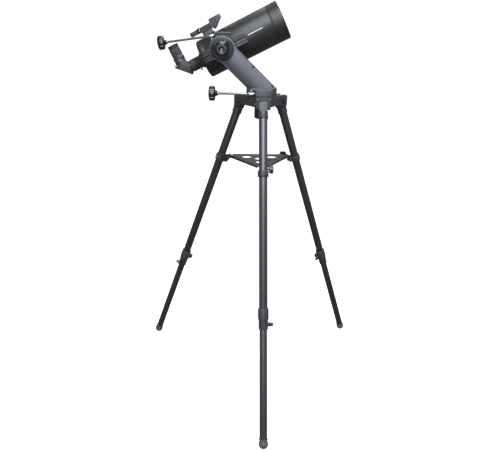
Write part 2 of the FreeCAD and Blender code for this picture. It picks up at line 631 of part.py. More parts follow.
# rail: wide upper bar and narrow lower bar on a common web
upper_bar = pad([[(-22.0, -66.5), (-6.5, -67.5), (-6.5, 74.5), (-15.5, 73.5), (-22.0, 66.5)]], 14.0,
                place(0, -67.5 + 14.0, 0), "XZ_Plane")
lower_bar = pad([[(-2.6, -67.6), (12.0, -68.6), (12.0, 74.5), (-2.6, 74.5)]], 14.0,
                place(0, -67.5 + 14.0, 0), "XZ_Plane")
web = box(32.0, 8.5, 138.0, place(-5.0, -62.5 + 4.25, -66.0))
grooves = [box(1.4, 1.6, 200.0, place(x, -67.5 + 0.8, -100.0)) for x in (-11.6, -16.6, 4.6)]
node("dovetail_rail", cut(fuse(upper_bar, lower_bar, web), tube_cut, *grooves), OTA)
node("main_tube", rev([(D.tube_rad - D.tube_wall, -D.cell_front + 0.1), (D.tube_rad, -D.cell_front + 0.1),
                       (D.tube_rad, D.ring_start - 0.1), (D.tube_rad - D.tube_wall, D.ring_start - 0.1)]), OTA)
node("front_ring", rev([(56.3, D.ring_start - 8.0), (56.3, D.ring_start - 8.0 + 7.9), (56.3, D.ring_start + 0.0),
                        (D.tube_rad, D.ring_start), (D.front_rad, D.front_end - 1.0),
                        (D.front_rad - 1.0, D.front_end), (55.2, D.front_end), (54.2, D.front_end - 2.0),
                        (54.2, 181.5), (52.2, 181.5), (52.2, 166.5), (49.0, 166.5),
                        (49.0, D.ring_start - 8.0)]), OTA)
# meniscus: two spherical faces, hollow side to the sky
front_r, back_r = 150.0, 155.0
meniscus = []
for i in range(9):
    r = D.lens_rad.value * i / 8.0
    meniscus.append((r if i else 0, 170.0 + (front_r - math.sqrt(front_r ** 2 - r ** 2)) - 3.4))
for i in range(8, -1, -1):
    r = D.lens_rad.value * i / 8.0
    meniscus.append((r if i else 0, 170.0 + 8.5 - 3.4 + (back_r - math.sqrt(back_r ** 2 - r ** 2)) * 0.96))
node("meniscus_lens", rev(meniscus), OTA)
cell = rev([(16.2, -D.rear_end), (52.5, -D.rear_end), (55.6, -D.rear_end + 0.9),
                       (57.6, -D.rear_end + 2.9), (D.tube_rad, -D.rear_end + 6.0), (D.tube_rad, -D.cell_front),
                       (56.3, -D.cell_front), (56.3, -D.cell_front + 7.0), (54.0, -D.cell_front + 7.0),
                       (54.0, -D.rear_end + 4.0), (16.2, -D.rear_end + 4.0)])
node("rear_cell", cut(cell, cyl(3.05, 20.0, place(0, 36.0, -D.rear_end.value - 5.0))), OTA)
focus_at = place(0, 36.0, 0)
node("baffle_tube", rev([(12.8, -D.rear_end + 0.2), (16.15, -D.rear_end + 0.2), (16.15, -D.rear_end + 4.05),
                         (19.0, -D.rear_end + 4.05), (19.0, -D.rear_end + 6.5), (14.0, -D.rear_end + 6.5),
                         (14.0, 45.0), (12.8, 45.0)]), OTA)
mirror = [(14.05, -60.0), (17.0, -60.0), (17.0, -52.0), (52.5, -52.0)]
for i in range(7):
    r = 52.5 - (52.5 - 17.0) * i / 6.0
    mirror.append((r, -40.0 - 3.6 * (1.0 - (r / 52.5) ** 2)))
mirror += [(17.0, -30.0), (14.05, -30.0)]
node("primary_mirror", rev(mirror), OTA)
node("focus_knob", rev([(0, -64.0), (3.0, -64.0), (3.0, -75.6), (8.2, -75.6), (9.0, -76.4), (9.0, -90.5),
                        (7.8, -92.0), (0, -92.0)]), OTA.multiply(focus_at))
node("visual_back", rev([(D.socket_rad, -75.2), (22.0, -75.2), (22.5, -76.0), (22.5, -83.0), (21.6, -84.0),
                         (19.4, -84.4), (19.4, -101.5), (18.6, -102.6), (D.socket_rad, -102.6)]), OTA)

EYE = OTA.multiply(place(0, 0, -D.eye_at.value, turn(Y_AXIS, -90)))    # local +Z up the eyepiece
EYE_LOCAL = place(0, 0, -D.eye_at.value, turn(Y_AXIS, -90))
half = 18.6
prism_case = pad([[(20.5, -125.0), (-20.3, -125.0), (-20.3, -165.4), (-18.3, -165.4)]], 2 * half,
                 place(), "XZ_Plane", True)
nose = rev([(0, -82.0), (D.nose_rad, -82.0), (D.nose_rad, -103.2), (18.6, -103.2), (18.6, -118.0),
            (17.6, -119.0), (17.6, -126.0), (0, -126.0)])
holder = cyl(17.4, 14.0, EYE_LOCAL.multiply(place(0, 0, 19.0)))
plate2 = box(2.2, 2 * half, 58.0, place(0, 0, 0))
plate2.Placement = place(1.2, 0, -D.eye_at.value - 1.2, turn(Y_AXIS, 45)).multiply(
    place(1.1, 0, -29.0)).multiply(place(-1.1, -half, 0))
inner = pad([[(16.2, -127.0), (-17.6, -127.0), (-17.6, -160.8)]], 32.0, place(), "XZ_Plane", True)
node("star_diagonal",
     cut(fuse(prism_case, nose, holder, plate2), inner, cyl(13.8, 80.0, place(0, 0, -130.0)),
         cyl(D.socket_rad, 30.0, EYE_LOCAL.multiply(place(0, 0, 17.2)))), OTA)
node("diagonal_prism", pad([[(15.0, -127.4), (-17.2, -127.4), (-17.2, -159.6)]], 31.4, place(), "XZ_Plane", True), OTA)
node("eyepiece",
     rev([(13.6, 17.8), (D.nose_rad, 17.8), (D.nose_rad, 33.2), (17.6, 33.2), (18.2, 34.0), (18.2, 42.5),
          (17.4, 43.4), (16.1, 43.6), (16.1, 76.0), (16.4, 76.6), (16.4, 80.2), (15.4, 81.0),
          (12.0, 81.0), (12.0, 77.6), (13.6, 76.0)]), EYE)


def eye_lens(z0, z1, bulge, at):
    pts = [(0, z0 - bulge), (7.0, z0 - bulge * 0.7), (13.5, z0), (13.5, z1), (7.0, z1 + bulge * 0.7), (0, z1 + bulge)]
    return rev(pts, at)


group("eyepiece_lenses", [eye_lens(24.0, 27.0, 2.0, EYE), eye_lens(66.0, 70.0, 2.5, EYE)])

# red dot finder on the tube's upper rear
F_BASE = fuse(box(15.8, 16.0, 33.0, place(-58.0 - 7.9, 0, -43.0)),
              box(4.0, 22.0, 40.0, place(-60.4, 0, -46.0)))
node("finder_base", cut(F_BASE, cyl(D.tube_rad + 0.1, 400.0, place(0, 0, -150.0))), OTA)
finder_profile = pad([[(-74.2, -76.5), (-87.6, -76.5), (-89.6, -10.0), (-99.6, -8.0), (-100.2, 27.0),
                       (-97.0, 29.5), (-88.0, 29.0), (-78.5, 16.0), (-70.0, 8.0), (-66.0, -1.0),
                       (-74.2, -9.0)]], 22.0, place(), "XZ_Plane", True)
finder_cuts = [box(13.0, 16.0, 60.0, place(-93.0, 0, -6.0)),
               box(8.0, 30.0, 60.0, place(-95.0, 26.0, -76.5)),
               box(20.0, 4.0, 66.0, place(-84.0, 12.0, -77.0)),
               box(20.0, 4.0, 66.0, place(-84.0, -12.0, -77.0)),
               cyl(2.05, 12.0, place(-83.0, -12.0, -48.3, ALONG_Y))]
node("finder_body", cut(finder_profile, *finder_cuts), OTA)
node("finder_wheel", rev([(0, -14.5), (6.6, -14.5), (7.4, -13.6), (7.4, -10.8), (6.6, -10.2), (2.0, -10.2),
                          (2.0, -2.0), (0, -2.0)]), OTA.multiply(place(-83.0, 0, -48.3, ALONG_Y)))

doc.recompute()

bad = []
for obj in doc.Objects:
    if "Invalid" in obj.State or "Error" in obj.State:
        bad.append((obj.Name, obj.Label, obj.State))
for obj in PARTS:
    shape = obj.Shape
    if shape.isNull() or not shape.isValid() or not shape.Solids:
        bad.append((obj.Name, obj.Label, "shape"))
if bad:
    raise RuntimeError("bad objects: %r" % (bad,))
labels = [obj.Label for obj in PARTS]
if len(set(labels)) != len(labels):
    raise RuntimeError("two sub-parts share a name")

os.makedirs("parts", exist_ok=True)
for obj in PARTS:
    obj.Shape.exportStep("parts/%s.step" % obj.Label)
print("%d sub-parts written" % len(PARTS))
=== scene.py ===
import math
import bpy
from mathutils import Matrix, Vector


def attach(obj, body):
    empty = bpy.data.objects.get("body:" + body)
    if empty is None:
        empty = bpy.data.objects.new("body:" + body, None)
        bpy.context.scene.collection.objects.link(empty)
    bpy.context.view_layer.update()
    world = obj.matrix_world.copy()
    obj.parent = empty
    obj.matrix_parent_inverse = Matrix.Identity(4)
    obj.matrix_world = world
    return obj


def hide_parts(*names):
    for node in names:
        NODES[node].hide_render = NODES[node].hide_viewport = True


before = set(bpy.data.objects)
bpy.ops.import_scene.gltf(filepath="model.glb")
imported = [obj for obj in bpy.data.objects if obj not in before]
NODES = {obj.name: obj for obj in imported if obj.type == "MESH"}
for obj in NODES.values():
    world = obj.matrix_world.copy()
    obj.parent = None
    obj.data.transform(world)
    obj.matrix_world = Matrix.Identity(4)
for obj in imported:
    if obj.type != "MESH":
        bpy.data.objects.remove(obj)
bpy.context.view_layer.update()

MM = 0.001
scene = bpy.context.scene

# ------------------------------------------------------------------ frames
# The same local frames as the CAD: metres, row frame.


def rot(axis, degrees):
    return Matrix.Rotation(math.radians(degrees), 4, axis)


def at(x, y, z, *turns):
    m = Matrix.Translation(Vector((x, y, z)) * MM)
    for t in turns:
        m = m @ t
    return m


ALONG_Y = rot("X", -90)
ALONG_X = rot("Y", 90)
SPLAY, LEG_TURN = 21.06, 3.77
LEG_AZ = {"front": -90 + LEG_TURN, "left": 150 + LEG_TURN, "right": 30 + LEG_TURN}


def leg_frame(name):
    a = math.radians(LEG_AZ[name])
    return at(70.07 * math.cos(a), 70.07 * math.sin(a), 935.0, rot("Z", LEG_AZ[name]), rot("Y", -SPLAY))


def radial(name, rad, z):
    a = math.radians(LEG_AZ[name])
    return at(rad * math.cos(a), rad * math.sin(a), z, rot("Z", LEG_AZ[name]))


POINT = 26.87
OTA = at(-118, 104.5, 1086, rot("Y", 90 - POINT)) @ at(4.5, 0, 0)
EYE = OTA @ at(0, 0, -144.3, rot("Y", -90))
HUB_Y = at(-118, 0, 1086, ALONG_Y)
LEAN = 8.4
ALT_WORM = at(-118 - 38.5 * math.sin(math.radians(LEAN)), 0, 1086 + 38.5 * math.cos(math.radians(LEAN)),
              rot("Y", -(90 + LEAN)))
AZ_ROD = at(0, -42, 962, rot("Y", -90))
ARM = at(-2.3, 0, 978, rot("Y", -(90 - 42.8)))

# --------------------------------------------------------------- materials


class Nodes:
    """Small helper for building a node material."""

    def __init__(self, name):
        self.mat = bpy.data.materials.new(name)
        self.mat.use_nodes = True
        self.tree = self.mat.node_tree
        self.tree.nodes.clear()
        self.out = self.tree.nodes.new("ShaderNodeOutputMaterial")
        self.bsdf = self.tree.nodes.new("ShaderNodeBsdfPrincipled")
        self.tree.links.new(self.bsdf.outputs[0], self.out.inputs[0])
        self.coord = self.tree.nodes.new("ShaderNodeTexCoord").outputs["Object"]

    def new(self, kind, **values):
        node = self.tree.nodes.new(kind)
        for key, value in values.items():
            if hasattr(node, key):
                setattr(node, key, value)
            else:
                node.inputs[key.replace("_", " ")].default_value = value
        return node

    def link(self, a, b):
        self.tree.links.new(a, b)

    def set(self, **values):
        for key, value in values.items():
            self.bsdf.inputs[key.replace("_", " ")].default_value = value

    def noise(self, scale, detail=3.0, rough=0.55, stretch=None):
        node = self.new("ShaderNodeTexNoise", Scale=scale, Detail=detail, Roughness=rough)
        src = self.coord
        if stretch:
            m = self.new("ShaderNodeMapping")
            m.inputs["Scale"].default_value = stretch
            self.link(self.coord, m.inputs["Vector"])
            src = m.outputs["Vector"]
        self.link(src, node.inputs["Vector"])
        return node.outputs["Fac"]

    def ramp(self, fac, stops):
        node = self.tree.nodes.new("ShaderNodeValToRGB")
        ramp = node.color_ramp
        while len(ramp.elements) < len(stops):
            ramp.elements.new(0.5)
        for e, (pos, col) in zip(ramp.elements, stops):
            e.position = pos
            e.color = (*col, 1.0) if len(col) == 3 else col
        self.link(fac, node.inputs["Fac"])
        return node.outputs["Color"]

    def spread(self, fac, low, high, lo=0.3, hi=0.7):
        node = self.new("ShaderNodeMapRange")
        node.inputs["From Min"].default_value = lo
        node.inputs["From Max"].default_value = hi
        node.inputs["To Min"].default_value = low
        node.inputs["To Max"].default_value = high
        self.link(fac, node.inputs["Value"])
        return node.outputs["Result"]

    def mix(self, fac, a, b, kind="MIX"):
        node = self.tree.nodes.new("ShaderNodeMix")
        node.data_type = "RGBA"
        node.blend_type = kind
        for socket, value in ((node.inputs[0], fac), (node.inputs[6], a), (node.inputs[7], b)):
            if isinstance(value, (int, float)):
                socket.default_value = value
            elif isinstance(value, tuple):
                socket.default_value = (*value, 1.0)
            else:
                self.link(value, socket)
        return node.outputs[2]

    def bump(self, *layers):
        """layers: (height, strength, distance in metres)."""
        last = None
        for height, strength, distance in layers:
            node = self.new("ShaderNodeBump", Strength=strength, Distance=distance)
            self.link(height, node.inputs["Height"])
            if last is not None:
                self.link(last, node.inputs["Normal"])
            last = node.outputs["Normal"]
        self.link(last, self.bsdf.inputs["Normal"])


def shade(colour, k):
    return tuple(max(0.0, c * k) for c in colour)


def paint(name, colour, metallic=0.0, rough=(0.34, 0.44), grain=1400.0, grain_depth=0.00006, flake=0.0,
          wear=0.0, coat=0.0, specular=0.5, cloud=0.16, tint=(1.0, 1.0, 1.0)):
    """Sprayed or powder coated metal: grain, cloudy gloss, faint dust and handling marks."""
    n = Nodes(name)
    broad = n.noise(9.0, 4.0, 0.6)
    fine = n.noise(grain, 2.0, 0.5)
    mid = n.noise(140.0, 5.0, 0.65)
    col = n.ramp(broad, [(0.25, shade(colour, 1 - cloud)), (0.75, shade(colour, 1 + cloud))])
    if flake > 0:
        cells = n.new("ShaderNodeTexVoronoi", Scale=2600.0)
        n.link(n.coord, cells.inputs["Vector"])
        speck = n.spread(cells.outputs["Distance"], flake, 0.0, 0.05, 0.22)
        col = n.mix(speck, col, shade(colour, 2.6))
    smudge = n.spread(mid, 0.0, 0.10, 0.5, 0.8)
    col = n.mix(smudge, col, shade(colour, 1.5))
    if wear > 0:
        geo = n.new("ShaderNodeNewGeometry")
        edge = n.spread(geo.outputs["Pointiness"], 0.0, wear, 0.53, 0.60)
        col = n.mix(edge, col, shade(colour, 2.4))
    n.link(col, n.bsdf.inputs["Base Color"])
    n.link(n.spread(mid, rough[0], rough[1]), n.bsdf.inputs["Roughness"])
    n.set(Metallic=metallic, Coat_Weight=coat, Coat_Roughness=0.18, Specular_IOR_Level=specular,
          Specular_Tint=(*tint, 1.0))
    n.bump((broad, 0.12, 0.0006), (fine, 0.30, grain_depth))
    return n.mat


def plastic(name, colour, rough=(0.10, 0.20), grain=900.0, depth=0.00002, coat=0.0, cloud=0.2, marks=True):
    """Moulded plastic: slight flow clouding, fine texture and rubbed patches."""
    n = Nodes(name)
    broad = n.noise(22.0, 3.0, 0.5)
    mid = n.noise(210.0, 5.0, 0.7)
    fine = n.noise(grain, 2.0, 0.5)
    col = n.ramp(broad, [(0.3, shade(colour, 1 - cloud)), (0.7, shade(colour, 1 + cloud))])
    n.link(n.mix(n.spread(mid, 0.0, 0.18, 0.52, 0.8), col, shade(colour, 2.0)), n.bsdf.inputs["Base Color"])
    n.link(n.spread(mid, rough[0], rough[1]), n.bsdf.inputs["Roughness"])
    n.set(Coat_Weight=coat, Coat_Roughness=0.06)
    n.bump((broad, 0.06, 0.0001), (fine, 0.20, depth * 0.5))
    return n.mat


def metal(name, colour, rough=(0.08, 0.2), brush=None, depth=0.000015, metallic=1.0):
    """Bare or plated metal with machining lines and fine scratches."""
    n = Nodes(name)
    lines = n.noise(60.0, 6.0, 0.7, brush or (1.0, 1.0, 1.0))
    broad = n.noise(30.0, 3.0, 0.5)
    scratch = n.noise(700.0, 3.0, 0.6, (0.08, 1.0, 1.0))
    n.link(n.ramp(broad, [(0.3, shade(colour, 0.9)), (0.7, shade(colour, 1.06))]), n.bsdf.inputs["Base Color"])
    n.link(n.spread(lines, rough[0], rough[1]), n.bsdf.inputs["Roughness"])
    n.set(Metallic=metallic)
    n.bump((lines, 0.04, depth * 0.3), (scratch, 0.05, depth * 0.3))
    return n.mat


def rubber(name, colour):
    n = Nodes(name)
    broad = n.noise(40.0, 4.0, 0.6)
    fine = n.noise(1600.0, 3.0, 0.6)
    dust = n.noise(120.0, 6.0, 0.7)
    col = n.ramp(broad, [(0.3, shade(colour, 0.8)), (0.7, shade(colour, 1.15))])
    n.link(n.mix(n.spread(dust, 0.0, 0.35, 0.5, 0.75), col, shade(colour, 1.7)), n.bsdf.inputs["Base Color"])
    n.link(n.spread(dust, 0.62, 0.82), n.bsdf.inputs["Roughness"])
    n.bump((fine, 0.5, 0.00008))
    return n.mat


def glass(name, tint, coating):
    """Coated optical glass with faint dust."""
    n = Nodes(name)
    dust = n.noise(500.0, 4.0, 0.7)
    broad = n.noise(25.0, 2.0, 0.5)
    n.link(n.ramp(broad, [(0.3, tint), (0.7, shade(tint, 0.96))]), n.bsdf.inputs["Base Color"])
    n.link(n.spread(dust, 0.01, 0.06, 0.45, 0.8), n.bsdf.inputs["Roughness"])
    n.set(Transmission_Weight=1.0, IOR=1.5, Coat_Weight=0.6, Coat_Roughness=0.03, Coat_Tint=(*coating, 1.0),
          Thin_Film_Thickness=320.0, Thin_Film_IOR=1.38)
    n.bump((broad, 0.02, 0.0002))
    return n.mat


def gear_brass(name):
    n = Nodes(name)
    turned = n.noise(400.0, 3.0, 0.6)
    broad = n.noise(30.0, 4.0, 0.6)
    n.link(n.ramp(broad, [(0.3, (0.50, 0.34, 0.12)), (0.7, (0.66, 0.48, 0.20))]), n.bsdf.inputs["Base Color"])
    n.link(n.spread(turned, 0.22, 0.4), n.bsdf.inputs["Roughness"])
    n.set(Metallic=1.0)
    n.bump((turned, 0.2, 0.00002))
    return n.mat


M = {
    "tube": paint("tube_satin_black", (0.0175, 0.0155, 0.0142), rough=(0.38, 0.45), coat=0.0, grain=1800.0,
                  grain_depth=0.00003, flake=0.03, specular=0.55, tint=(0.84, 0.92, 1.0)),
    "ring": paint("front_ring_satin", (0.0175, 0.0158, 0.0148), rough=(0.38, 0.45), coat=0.0, grain=1800.0,
                  grain_depth=0.00003, flake=0.03, specular=0.55, tint=(0.84, 0.92, 1.0)),
    "arm": paint("arm_grey_metallic", (0.225, 0.235, 0.275), metallic=0.62, rough=(0.33, 0.40), grain=1700.0,
                 grain_depth=0.00004, flake=0.12, coat=0.1),
    "block": paint("worm_block_grey", (0.080, 0.086, 0.102), metallic=0.4, rough=(0.40, 0.50), grain=1300.0,
                   grain_depth=0.00006, flake=0.25, wear=0.35),
    "housing": paint("housing_dark", (0.068, 0.072, 0.085), metallic=0.3, rough=(0.42, 0.52), grain=1300.0,
                     grain_depth=0.00006, flake=0.15, wear=0.2),
    "casting": paint("casting_black", (0.044, 0.045, 0.050), metallic=0.25, rough=(0.42, 0.55), grain=1000.0,
                     grain_depth=0.00009, flake=0.12, wear=0.25, cloud=0.22),
    # front leg cap, lock and tray collars: the casting paint made lighter, a painted highlight for the parts facing the
    # lamps
    "front_casting_painted_lit": paint("front_casting_grey_painted_lit", (0.058, 0.061, 0.070), metallic=0.35, rough=(0.42, 0.52), grain=1000.0,
                 grain_depth=0.00008, flake=0.2, wear=0.25),
    # front leg tubes: the leg anodising made lighter and bluer, a painted highlight for the leg facing the lamps
    "leg_front_painted_lit": paint("front_leg_anodised_painted_lit", (0.088, 0.091, 0.103), metallic=0.62, rough=(0.34, 0.40), grain=2000.0,
                      grain_depth=0.00002, flake=0.06, cloud=0.06),
    # back leg tubes: the same anodising darker and warmer, painted shade
    "leg": paint("back_leg_anodised_painted_shade", (0.058, 0.053, 0.053), metallic=0.60, rough=(0.34, 0.41), grain=2000.0,
                 grain_depth=0.00002, flake=0.06, cloud=0.10),
    "tray": paint("tray_black", (0.022, 0.0225, 0.026), metallic=0.2, rough=(0.42, 0.54), grain=1000.0,
                  grain_depth=0.00008, wear=0.2),
    "dovetail": paint("dovetail_anodised", (0.055, 0.055, 0.060), metallic=0.55, rough=(0.36, 0.48), grain=1500.0,
                      grain_depth=0.00004, flake=0.2, wear=0.3),
    "hub": paint("hub_dial_black", (0.020, 0.021, 0.025), metallic=0.3, rough=(0.34, 0.46), grain=1500.0,
                 grain_depth=0.00004, wear=0.2),
    "knob": plastic("knob_gloss_black", (0.010, 0.010, 0.012), rough=(0.09, 0.17), coat=0.35),
    "matte": plastic("matte_black", (0.024, 0.025, 0.028), rough=(0.42, 0.58), depth=0.00005),
    "finder": plastic("finder_grey_black", (0.042, 0.045, 0.053), rough=(0.40, 0.55), depth=0.00005),
    "eyebody": plastic("eyepiece_black", (0.042, 0.045, 0.053), rough=(0.22, 0.32), depth=0.00003),
    "chrome": metal("chrome_plate", (0.46, 0.47, 0.49), rough=(0.16, 0.24)),
    "steel": metal("bright_steel", (0.34, 0.35, 0.37), rough=(0.18, 0.32), brush=(2.0, 2.0, 14.0)),
    "darksteel": metal("black_screw", (0.06, 0.06, 0.066), rough=(0.22, 0.36), metallic=0.8),
    "brass": gear_brass("worm_wheel_brass"),
    "rubber": rubber("foot_rubber", (0.085, 0.086, 0.092)),
    "eyecup": rubber("eyecup_rubber", (0.022, 0.022, 0.024)),
    "glass": glass("coated_glass", (0.90, 0.97, 0.94), (0.55, 0.95, 0.70)),
    "mirror": metal("mirror_aluminised", (0.90, 0.90, 0.92), rough=(0.01, 0.03)),
    "flat": plastic("flat_black_interior", (0.012, 0.012, 0.013), rough=(0.75, 0.9)),
    "engrave": plastic("filled_engraving", (0.13, 0.135, 0.15), rough=(0.4, 0.5)),
    "mark": plastic("pale_ink", (0.62, 0.63, 0.65), rough=(0.4, 0.5)),
    # near-black for real seams, and painted shade where it stands for screw recesses, finder steps and rail slots
    "seam": plastic("shadow_gap", (0.004, 0.004, 0.005), rough=(0.7, 0.85)),
    "lamp": plastic("finder_lamp_red", (0.28, 0.010, 0.008), rough=(0.08, 0.15), coat=0.5),
}

# ------------------------------------------------------------- mesh making


def finish_mesh(name, verts, faces, material, body, matrix, angle=34.0, slot=None, replaces=()):
    mesh = bpy.data.meshes.new(name)
    mesh.from_pydata([tuple(matrix @ (Vector(v) * MM)) for v in verts], [], faces)
    mesh.validate()
    mesh.update()
    mesh.shade_smooth()
    mesh.set_sharp_from_angle(angle=math.radians(angle))
    obj = bpy.data.objects.new(name, mesh)
    scene.collection.objects.link(obj)
    mesh.materials.append(M[material])
    if matrix.determinant() < 0:
        mesh.flip_normals()
    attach(obj, body)
    if replaces:
        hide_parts(*replaces)
    return obj


def soften(points, radius, closed=False):
    """Rounds the corners of an (r, z) line with short arcs."""
    out = []
    count = len(points)
    for i, p in enumerate(points):
        p = Vector(p)
        if not closed and i in (0, count - 1):
            out.append(p)
            continue
        a, b = Vector(points[i - 1]), Vector(points[(i + 1) % count])
        u, w = a - p, b - p
        if u.length < 1e-6 or w.length < 1e-6:
            out.append(p)
            continue
        turn = math.pi - u.angle(w)
        if turn < math.radians(14):
            out.append(p)
            continue
        cut = min(radius * math.tan(turn / 2), 0.45 * u.length, 0.45 * w.length)
        s, e = p + u.normalized() * cut, p + w.normalized() * cut
        for t in (0.0, 0.25, 0.5, 0.75, 1.0):
            out.append((1 - t) ** 2 * s + 2 * t * (1 - t) * p + t * t * e)
    return [(q.x, q.y) for q in out]


def lathe(name, points, material, body, matrix, radius=0.5, segs=72, wave=None, closed=False, **extra):
    """Turned piece from (r, z) points. wave(theta, r, z) scales the radius."""
    pts = soften(points, radius, closed) if radius else list(points)
    verts, rings, faces = [], [], []
    for r, z in pts:
        if r < 1e-6:
            rings.append([len(verts)])
            verts.append((0, 0, z))
            continue
        ring = []
        for k in range(segs):
            th = 2 * math.pi * k / segs
            s = wave(th, r, z) if wave else 1.0
            ring.append(len(verts))
            verts.append((r * s * math.cos(th), r * s * math.sin(th), z))
        rings.append(ring)
    pairs = list(zip(rings, rings[1:]))
    if closed:
        pairs.append((rings[-1], rings[0]))
    for a, b in pairs:
        if len(a) == 1 and len(b) == 1:
            continue
        for k in range(segs):
            j = (k + 1) % segs
            if len(a) == 1:
                faces.append((a[0], b[j], b[k]))
            elif len(b) == 1:
                faces.append((a[k], a[j], b[0]))
            else:
                faces.append((a[k], a[j], b[j], b[k]))
    return finish_mesh(name, verts, faces, material, body, matrix, **extra)


def slab(name, outline, thick, material, body, matrix, bevel=0.6, corner=0.0, holes=(), segments=3, **extra):
    """Plate from an (x, y) outline, from z 0 to thick, with bevelled edges."""
    pts = soften(outline, corner, True) if corner else list(outline)
    n = len(pts)
    verts = [(x, y, 0) for x, y in pts] + [(x, y, thick) for x, y in pts]
    faces = [tuple(range(n - 1, -1, -1)), tuple(range(n, 2 * n))]
    for i in range(n):
        j = (i + 1) % n
        faces.append((i, j, n + j, n + i))
    obj = finish_mesh(name, verts, faces, material, body, matrix, **extra)
    if bevel:
        mod = obj.modifiers.new("edges", "BEVEL")
        mod.width = bevel * MM
        mod.segments = segments
        mod.limit_method = "ANGLE"
        mod.angle_limit = math.radians(30)
        mod.harden_normals = True
    return obj


def brick(name, sx, sy, sz, material, body, matrix, bevel=0.6, **extra):
    return slab(name, [(-sx / 2, -sy / 2), (sx / 2, -sy / 2), (sx / 2, sy / 2), (-sx / 2, sy / 2)], sz, material,
                body, matrix, bevel, **extra)


def socket_screw(name, rad, high, body, matrix, material="darksteel"):
    """Cap screw: turned head with a hex recess, standing on z 0."""
    hexr = rad * 0.52

    def wave(th, r, z):
        if r <= hexr * 1.001 and r > 1e-6:
            t = (th + math.pi / 6) % (math.pi / 3) - math.pi / 6
            return math.cos(math.pi / 6) / math.cos(t)
        return 1.0
    return lathe(name, [(rad * 0.96, -0.4), (rad, 0.0), (rad, high * 0.8), (rad * 0.86, high), (hexr, high),
                        (hexr * 0.999, high * 0.35), (0, high * 0.3)], material, body, matrix, radius=0.12, segs=36,
                 wave=wave)


def cross_screw(name, rad, high, body, matrix, material="steel"):
    """Domed screw head standing on z 0, with its cross recess drawn as two near-black bars: painted shade in the
    recess.
    """
    obj = lathe(name, [(rad, -0.4), (rad, high * 0.35), (rad * 0.8, high * 0.78), (rad * 0.42, high),
                       (0, high)], material, body, matrix, radius=rad * 0.35, segs=32)
    for i, a in enumerate((0, 90)):
        brick("%s.slot%d" % (name, i), rad * 1.05, rad * 0.24, 0.25, "seam", body,
              matrix @ at(0, 0, high - 0.12, rot("Z", a)), bevel=0)
    return obj


def flute(count, depth, sharp=1.0, phase=0.0, z_from=-1e9, z_to=1e9, r_from=0.0):
    def wave(th, r, z):
        if not (z_from <= z <= z_to) or r < r_from:
            return 1.0
        c = 0.5 * (1 + math.cos(count * th + phase))
        return 1.0 - depth * c ** sharp
    return wave


# ------------------------------------------------------------- CAD pieces

CAD_FINISH = {
    "main_tube": "tube", "front_ring": "ring", "rear_cell": "tube",
    "arm": "arm", "azimuth_housing": "housing", "azimuth_worm_block": "block", "altitude_worm_block": "block",
    "tripod_crown": "casting", "accessory_tray": "tray",
    "azimuth_rod": "chrome", "altitude_rod": "chrome", "azimuth_worm": "steel", "altitude_worm": "steel",
    "hinge_bolts": "darksteel", "arm_screws": "darksteel", "altitude_axle": "steel",
    "azimuth_wheel": "brass", "altitude_wheel": "brass", "azimuth_base": "housing", "azimuth_lever": "housing",
    "dovetail_rail": "dovetail", "visual_back": "hub", "baffle_tube": "flat", "altitude_dial": "hub",
    "meniscus_lens": "glass", "diagonal_prism": "glass", "eyepiece_lenses": "glass",
    "primary_mirror": "mirror", "star_diagonal": "matte", "eyepiece": "eyebody",
    "finder_base": "matte", "finder_body": "finder",
    "tray_knobs": "knob", "head_knob": "knob", "azimuth_knob": "knob", "altitude_knob": "knob",
    "clutch_knob": "knob", "focus_knob": "knob", "finder_wheel": "knob",
}
for leg in LEG_AZ:
    # front leg parts take lighter copies of the leg and casting finishes (painted highlight); the back legs take the
    # darker ones (painted shade)
    CAD_FINISH.update({"leg_cap_" + leg: "front_casting_painted_lit" if leg == "front" else "casting",
                       "upper_tube_" + leg: "leg_front_painted_lit" if leg == "front" else "leg",
                       "lower_tube_" + leg: "leg_front_painted_lit" if leg == "front" else "leg", "foot_" + leg: "rubber", "lock_collar_" + leg: "front_casting_painted_lit" if leg == "front" else "casting",
                       "lock_knob_" + leg: "knob",
                       "tray_collar_" + leg: "front_casting_painted_lit" if leg == "front" else "casting"})

for name, obj in NODES.items():
    mesh = obj.data
    mat = M[CAD_FINISH[name]]
    if not mesh.materials:
        mesh.materials.append(mat)
    for i in range(len(mesh.materials)):
        mesh.materials[i] = mat

NO_BEVEL = {"azimuth_wheel", "altitude_wheel", "meniscus_lens", "primary_mirror", "eyepiece_lenses"}
for name, obj in NODES.items():
    mesh = obj.data
    for attr in [a.name for a in mesh.attributes if a.name == "custom_normal"]:
        mesh.attributes.remove(mesh.attributes[attr])
    mesh.shade_smooth()
    mesh.set_sharp_from_angle(angle=math.radians(32))
    weld = obj.modifiers.new("weld", "WELD")
    weld.merge_threshold = 2e-6
    if name in NO_BEVEL:
        continue
    mod = obj.modifiers.new("edges", "BEVEL")
    mod.width = 0.45 * MM
    mod.segments = 2
    mod.limit_method = "ANGLE"
    mod.angle_limit = math.radians(35)
    mod.use_clamp_overlap = True
    mod.harden_normals = False

# -------------------------------------------------------------- the stage


